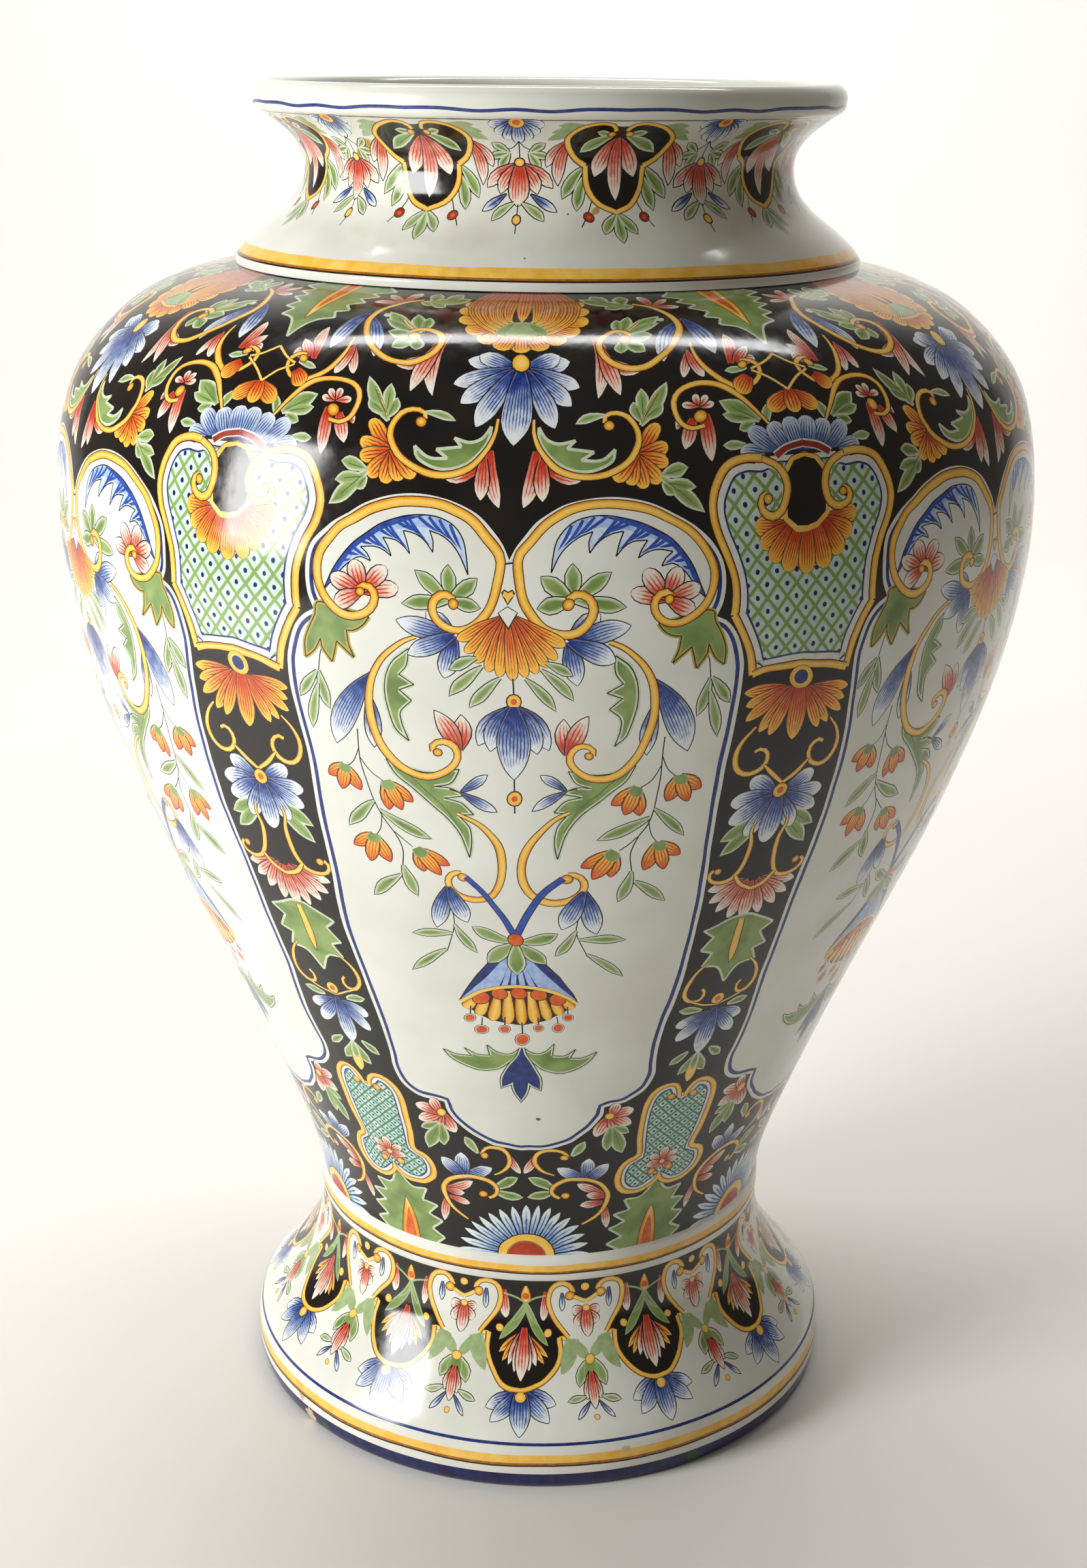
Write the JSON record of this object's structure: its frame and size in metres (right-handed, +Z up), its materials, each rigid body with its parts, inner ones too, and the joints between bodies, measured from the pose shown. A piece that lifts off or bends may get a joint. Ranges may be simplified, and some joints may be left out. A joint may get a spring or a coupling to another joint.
{
  "type": "faience vase",
  "caption": "Large hollow baluster vase of tin-glazed earthenware with a flared neck, wide shoulder, narrow waist and bell-shaped foot.",
  "frame": {"origin": "centre of the foot ring's underside, on the surface that the vase stands on", "axes": "+Z up along the vase's turning axis; -Y towards the viewer of the picture"},
  "size_m": [0.4264, 0.4264, 0.6],
  "materials": {
    "glaze": "glossy white tin glaze with polychrome painting under it"
  },
  "bodies": {
    "root": {"vase": "glaze"}
  },
  "joints": []
}
